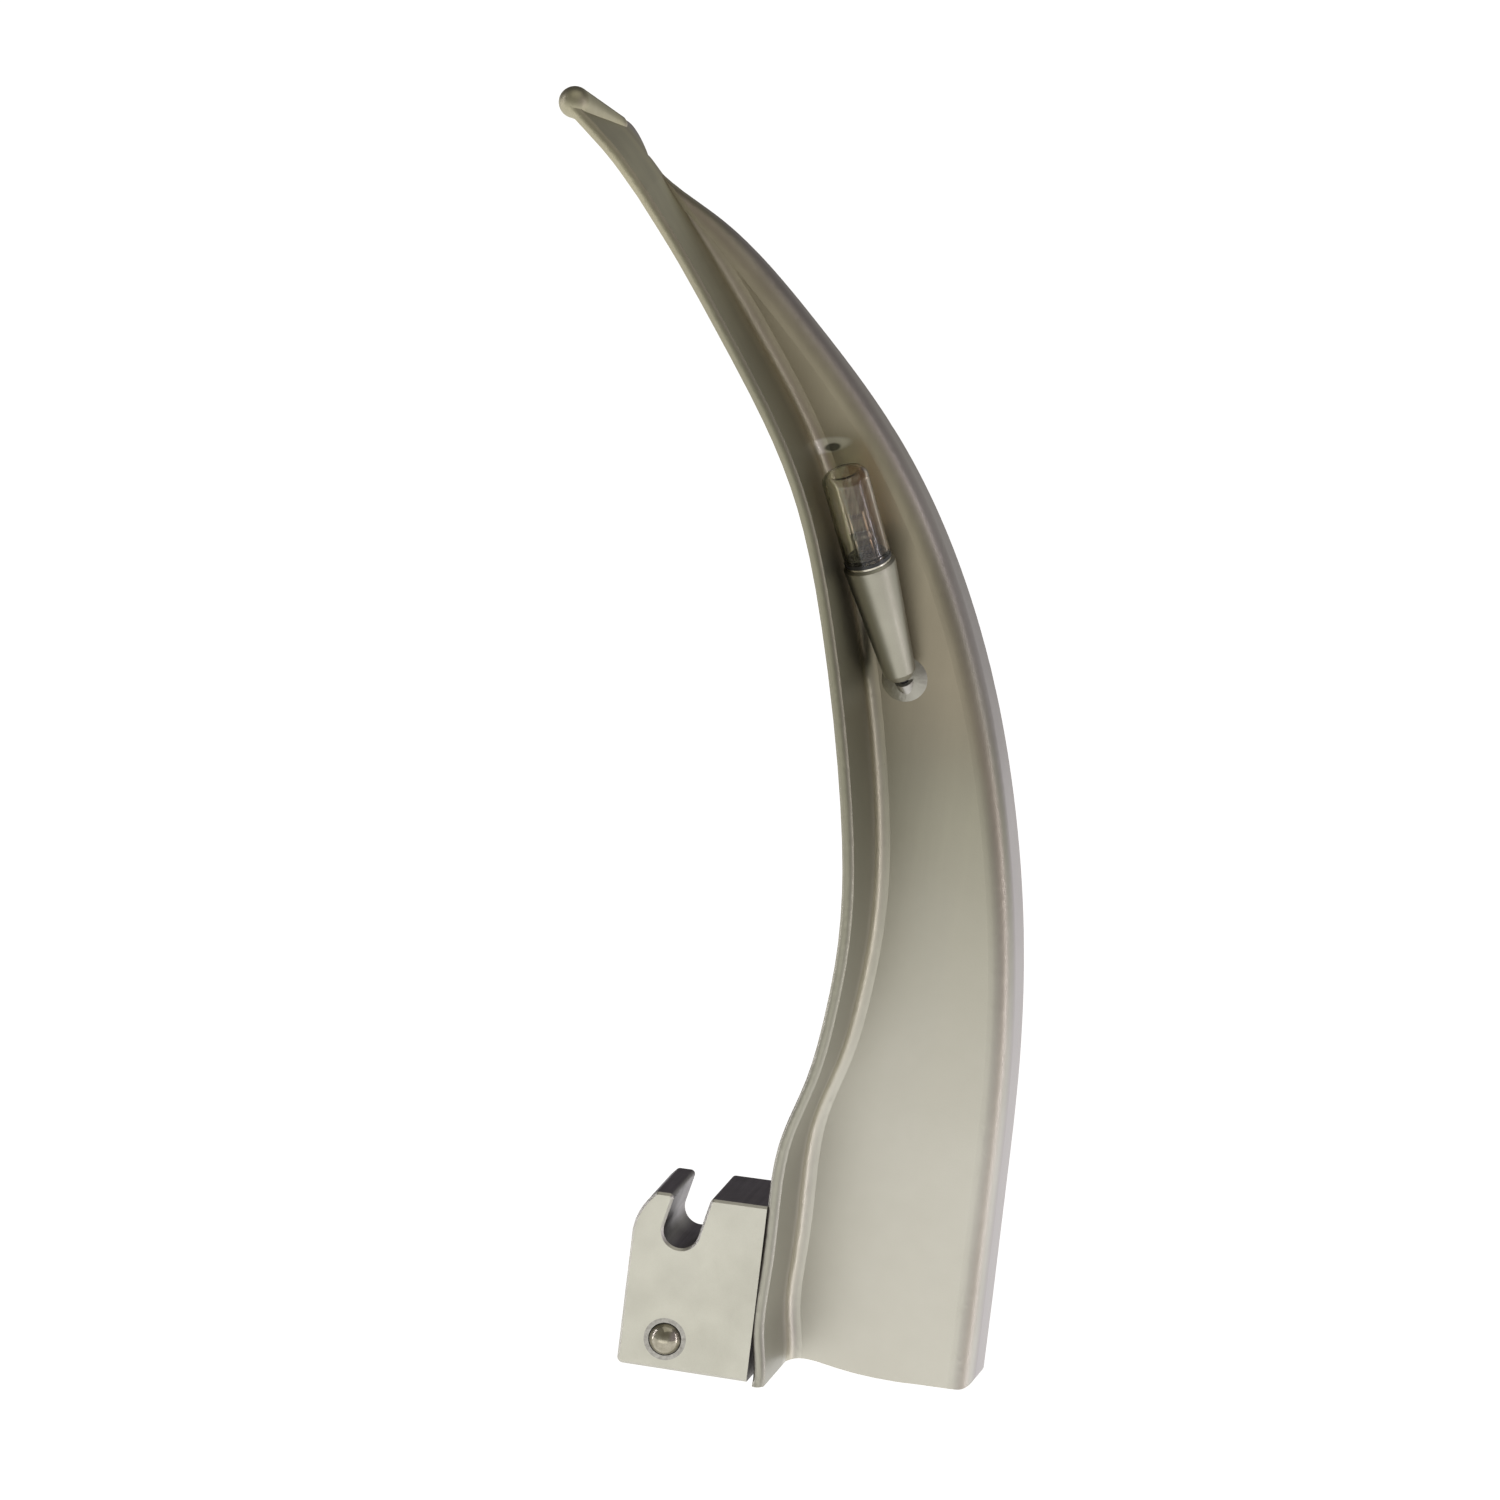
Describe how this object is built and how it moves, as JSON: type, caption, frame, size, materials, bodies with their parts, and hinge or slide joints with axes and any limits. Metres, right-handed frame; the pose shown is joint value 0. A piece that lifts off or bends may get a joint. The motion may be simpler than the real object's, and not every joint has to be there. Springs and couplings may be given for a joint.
{
  "type": "laryngoscope blade",
  "caption": "Curved hook-on laryngoscope blade with a Z-section, beaded tip, screw-in lamp, wired contact and sprung ball detents in its hook block.",
  "frame": {"origin": "centre of the hinge pin's seat in the hook slot, half way across the block", "axes": "+Z along the straight base of the blade towards its tip, +Y along the hinge pin from the spatula's free edge to the web, -X towards the handle"},
  "size_m": [0.0551, 0.0231, 0.1285],
  "materials": {
    "blade_steel": "satin",
    "block_steel": "bead blasted",
    "conduit_steel": "satin",
    "holder_steel": "satin",
    "sleeve_steel": "turned",
    "ball_steel": "polished",
    "spring_steel": "drawn wire",
    "braze": "silver braze, as set",
    "brass": "turned",
    "copper": "drawn wire",
    "wire_sleeve": "extruded",
    "contact_plastic": "moulded",
    "ferrule_nickel": "nickel plated",
    "black_cement": "cast",
    "solder": "soldered",
    "lead_wire": "drawn wire",
    "bulb_glass": "clear",
    "bead_glass": "fused",
    "tungsten": "coiled wire"
  },
  "bodies": {
    "blade": {"blade_body": "blade_steel", "hook_block": "block_steel", "contact_bush": "contact_plastic", "contact_stud": "brass", "wire_core": "copper", "wire_insulation": "wire_sleeve", "conduit": "conduit_steel", "conduit_braze": "braze", "bulb_holder": "holder_steel", "holder_braze": "braze", "holder_contact": "brass", "holder_bush": "contact_plastic", "detent_sleeve_front": "sleeve_steel", "detent_sleeve_rear": "sleeve_steel", "detent_spring_front": "spring_steel", "detent_spring_rear": "spring_steel"},
    "ball_front": {"detent_ball_front": "ball_steel"},
    "ball_rear": {"detent_ball_rear": "ball_steel"},
    "lamp_thread": {"bulb_end_contact": "solder"},
    "lamp": {"bulb_ferrule": "ferrule_nickel", "bulb_cement": "black_cement", "bulb_insulator": "black_cement", "bulb_leads": "lead_wire", "bulb_glass": "bulb_glass", "bulb_bead": "bead_glass", "bulb_filament": "tungsten"}
  },
  "joints": [
    {"name": "detent_front_press", "type": "slide", "parent": "blade", "child": "ball_front", "axis": [0, 1, 0], "range_m": [0, 0.0009], "stiffness_N_per_m": 2500, "springref_m": -0.0004, "deforming": ["detent_spring_front"]},
    {"name": "detent_rear_press", "type": "slide", "parent": "blade", "child": "ball_rear", "axis": [0, -1, 0], "range_m": [0, 0.0009], "stiffness_N_per_m": 2500, "springref_m": -0.0004, "deforming": ["detent_spring_rear"]},
    {"name": "lamp_rise", "type": "slide", "parent": "blade", "child": "lamp_thread", "axis": [-0.3162, -0.2701, 0.9094], "range_m": [0, 0.0045]},
    {"name": "lamp_turn", "type": "hinge", "parent": "lamp_thread", "child": "lamp", "pos_m": [0.00943, 0.00215, 0.06872], "axis": [-0.3162, -0.2701, 0.9094], "range_deg": [0, 3245]}
  ],
  "couplings": [
    {"joint": "lamp_turn", "follows": "lamp_rise", "rad_per_m": 12566}
  ]
}
